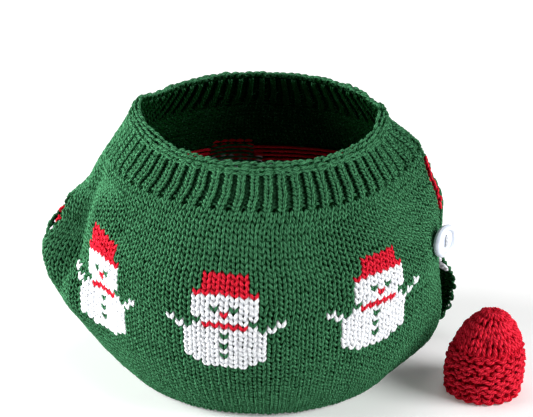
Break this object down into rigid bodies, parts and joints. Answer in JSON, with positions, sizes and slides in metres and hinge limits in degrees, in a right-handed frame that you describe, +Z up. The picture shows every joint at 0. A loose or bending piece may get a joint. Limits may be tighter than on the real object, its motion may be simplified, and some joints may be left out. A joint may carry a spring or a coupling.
{
  "type": "knitted tea cosy with a knob cover",
  "caption": "Round knitted tea cosy with ribbed collar, spout slit and buttoned handle slit, snowmen in its knitting, and a small knitted lid-knob cover.",
  "frame": {"origin": "middle of the box around the cosy and the knob cover, on the surface that they stand on", "axes": "+Z up, -X towards the spout slit, +X towards the handle slit, -Y the front with its snowmen"},
  "size_m": [0.223, 0.1673, 0.1246],
  "materials": {
    "green_yarn": "matte soft-spun knitting yarn, with snowmen in white and red yarn",
    "red_yarn": "matte knitting yarn",
    "white_yarn": "matte knitting yarn",
    "white_button": "satin moulded plastic"
  },
  "bodies": {
    "root": {"front_panel": "green_yarn", "back_panel": "green_yarn", "slit_edging": "red_yarn", "button": "white_button", "knob_cover": "red_yarn"}
  },
  "joints": []
}
